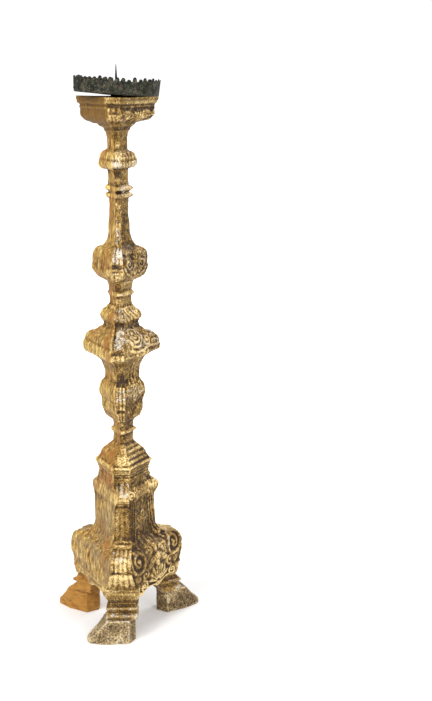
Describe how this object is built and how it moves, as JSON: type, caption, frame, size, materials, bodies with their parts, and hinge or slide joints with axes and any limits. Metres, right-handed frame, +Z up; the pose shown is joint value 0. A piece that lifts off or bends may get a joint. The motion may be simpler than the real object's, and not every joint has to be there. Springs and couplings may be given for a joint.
{
  "type": "torchere candle stand",
  "caption": "Tall three-sided carved and gilded wooden candle stand on splayed feet, with a lift-off lobed sheet-metal drip pan over an iron pricket spike.",
  "frame": {"origin": "on the floor, in the middle of the stand's outline seen from above; the stem's axis stands 14.1 mm towards -X and 23.7 mm towards +Y of it", "axes": "+Z up; -Y towards the front foot; +Y towards the wall, out of the plain uncarved side"},
  "size_m": [0.2373, 0.2523, 1],
  "materials": {
    "gilt": "worn gold leaf over white gesso and red bole on carved wood, satin",
    "ochre": "plain yellow ochre wash on tooled wood, matt",
    "worn_gilt": "rubbed and dirty gilding with bare gesso, matt",
    "bare_wood": "bare orange-brown softwood, matt",
    "sheet_metal": "aged dark sheet metal with a green-grey patina",
    "iron": "dark forged iron"
  },
  "bodies": {
    "stand": {"top_board": "gilt", "capital": "gilt", "upper_shaft": "gilt", "ring_collar": "gilt", "pear_baluster": "gilt", "middle_shaft": "gilt", "cushion": "gilt", "scroll_block": "gilt", "lower_shaft": "gilt", "plinth_cap": "gilt", "base_core": "gilt", "base_corner_front": "gilt", "base_corner_left": "gilt", "base_corner_right": "gilt", "apron_left": "gilt", "apron_right": "gilt", "back_stave": "ochre", "apron_back": "ochre", "ankle_front": "worn_gilt", "ankle_left": "worn_gilt", "hoof_front": "worn_gilt", "hoof_left": "worn_gilt", "ankle_right": "bare_wood", "hoof_right": "bare_wood", "stem_dowels": "bare_wood", "foot_dowels": "bare_wood", "pricket": "iron"},
    "pan_seat": {"pan_washer": "iron"},
    "pan": {"drip_pan": "sheet_metal", "pan_rim": "sheet_metal", "rim_rivets": "iron"}
  },
  "joints": [
    {"name": "pan_lift", "type": "slide", "parent": "stand", "child": "pan_seat", "axis": [0, 0, 1], "range_m": [0, 0.065]},
    {"name": "pan_turn", "type": "hinge", "parent": "pan_seat", "child": "pan", "pos_m": [-0.01407, 0.02373, 0.95124], "axis": [-0.0305, -0.0529, 0.9981], "continuous": true}
  ]
}
